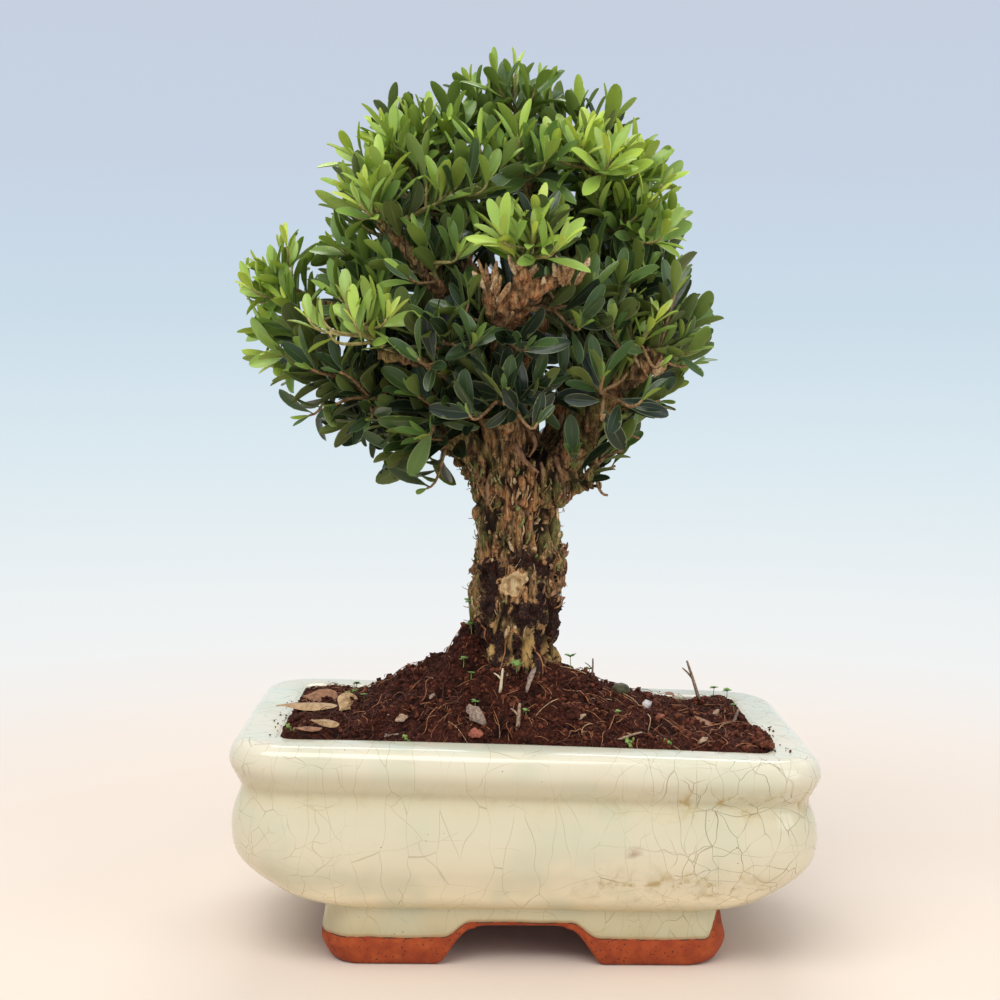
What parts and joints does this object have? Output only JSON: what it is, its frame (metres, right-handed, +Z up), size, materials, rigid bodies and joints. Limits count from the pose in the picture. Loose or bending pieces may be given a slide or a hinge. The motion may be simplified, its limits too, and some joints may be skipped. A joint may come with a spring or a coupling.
{
  "type": "harland boxwood bonsai in a pot",
  "caption": "Small-leaved boxwood bonsai with a stout fluted trunk and a rounded leafy crown, in a rectangular glazed pot on corner feet.",
  "frame": {"origin": "on the surface that the pot's feet stand on, under the middle of the plant's whole outline", "axes": "+Z up, X along the pot's long sides, -Y towards the viewer of the tree's front"},
  "size_m": [0.1962, 0.1338, 0.2921],
  "materials": {
    "glaze": "gloss",
    "drain_mesh": "matte",
    "soil": "matte",
    "bark": "matte",
    "leaf": "satin",
    "young_leaf": "satin"
  },
  "bodies": {
    "root": {"pot": "glaze", "drain_mesh_left": "drain_mesh", "drain_mesh_right": "drain_mesh", "soil": "soil", "trunk": "bark", "spray_01": "leaf", "spray_02": "leaf", "spray_03": "leaf", "spray_04": "young_leaf", "spray_05": "young_leaf", "spray_06": "young_leaf", "spray_07": "leaf", "spray_08": "young_leaf", "spray_09": "leaf", "spray_10": "leaf", "spray_11": "young_leaf", "spray_12": "young_leaf", "spray_13": "young_leaf", "spray_14": "young_leaf", "spray_15": "leaf", "spray_16": "leaf", "spray_17": "leaf", "spray_18": "leaf", "spray_19": "young_leaf", "spray_20": "leaf", "spray_21": "leaf", "spray_22": "leaf", "spray_23": "leaf", "spray_24": "leaf", "spray_25": "leaf", "spray_26": "leaf", "spray_27": "leaf", "spray_28": "leaf", "spray_29": "leaf", "spray_30": "leaf", "spray_31": "leaf", "spray_32": "leaf", "spray_33": "leaf", "spray_34": "leaf", "spray_35": "leaf", "spray_36": "leaf", "spray_37": "leaf", "spray_38": "leaf", "spray_39": "leaf", "spray_40": "leaf", "spray_41": "leaf", "spray_42": "leaf", "spray_43": "leaf", "spray_44": "leaf", "spray_45": "leaf", "spray_46": "leaf", "spray_47": "leaf"}
  },
  "joints": []
}
